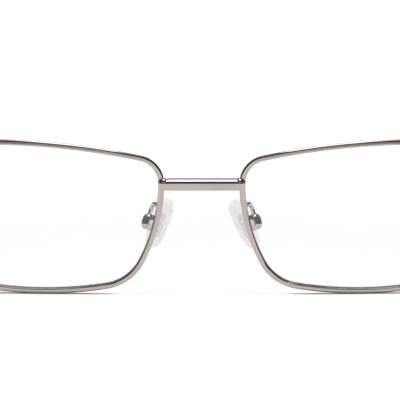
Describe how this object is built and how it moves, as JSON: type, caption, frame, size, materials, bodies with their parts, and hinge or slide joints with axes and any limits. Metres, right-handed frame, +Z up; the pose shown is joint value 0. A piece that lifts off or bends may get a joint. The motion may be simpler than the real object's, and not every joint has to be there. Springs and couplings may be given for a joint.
{
  "type": "wire eyeglasses",
  "caption": "Full-rim metal eyeglasses with rounded-rectangle lenses, a straight bridge, rocking silicone nose pads and folding temples.",
  "frame": {"origin": "middle of the footprint, on the surface that the open eyeglasses stand on", "axes": "+Z up, -Y the way the lenses face, +X the wearer's left"},
  "size_m": [0.134, 0.1441, 0.0348],
  "materials": {
    "plated_wire": "bright plated nickel alloy, satin on the flats",
    "hinge_metal": "bright plated",
    "screw_steel": "turned stainless steel",
    "washer": "natural nylon",
    "pad_metal": "bright plated",
    "core_plastic": "clear moulded polycarbonate",
    "silicone": "clear soft silicone",
    "lens": "clear, polished",
    "tip_plastic": "glossy black acetate"
  },
  "bodies": {
    "front": {"bridge": "plated_wire", "left_rim": "plated_wire", "left_lens": "lens", "left_end_piece": "plated_wire", "left_upper_block": "plated_wire", "left_lower_block": "plated_wire", "left_rim_screw": "screw_steel", "left_hinge_front": "hinge_metal", "left_hinge_screw": "screw_steel", "left_hinge_washers": "washer", "left_pad_arm": "pad_metal", "left_pad_box": "pad_metal", "left_pad_screw": "screw_steel", "right_rim": "plated_wire", "right_lens": "lens", "right_end_piece": "plated_wire", "right_upper_block": "plated_wire", "right_lower_block": "plated_wire", "right_rim_screw": "screw_steel", "right_hinge_front": "hinge_metal", "right_hinge_screw": "screw_steel", "right_hinge_washers": "washer", "right_pad_arm": "pad_metal", "right_pad_box": "pad_metal", "right_pad_screw": "screw_steel"},
    "left_temple_arm": {"left_temple": "plated_wire", "left_temple_tip": "tip_plastic", "left_hinge_rear": "hinge_metal"},
    "left_pad": {"left_pad_core": "core_plastic", "left_nose_pad": "silicone"},
    "right_temple_arm": {"right_temple": "plated_wire", "right_temple_tip": "tip_plastic", "right_hinge_rear": "hinge_metal"},
    "right_pad": {"right_pad_core": "core_plastic", "right_nose_pad": "silicone"}
  },
  "joints": [
    {"name": "left_temple_fold", "type": "hinge", "parent": "front", "child": "left_temple_arm", "pos_m": [0.0633, -0.05828, 0.0262], "axis": [0, 0, 1], "range_deg": [0, 91]},
    {"name": "right_temple_fold", "type": "hinge", "parent": "front", "child": "right_temple_arm", "pos_m": [-0.0633, -0.05828, 0.0262], "axis": [0, 0, -1], "range_deg": [0, 85]},
    {"name": "left_pad_rock", "type": "hinge", "parent": "front", "child": "left_pad", "pos_m": [0.012, -0.06313, 0.01584], "axis": [0.4695, 0.8796, 0.077], "range_deg": [-2, 14]},
    {"name": "right_pad_rock", "type": "hinge", "parent": "front", "child": "right_pad", "pos_m": [-0.012, -0.06313, 0.01584], "axis": [-0.4695, 0.8796, 0.077], "range_deg": [-8, 8]}
  ]
}
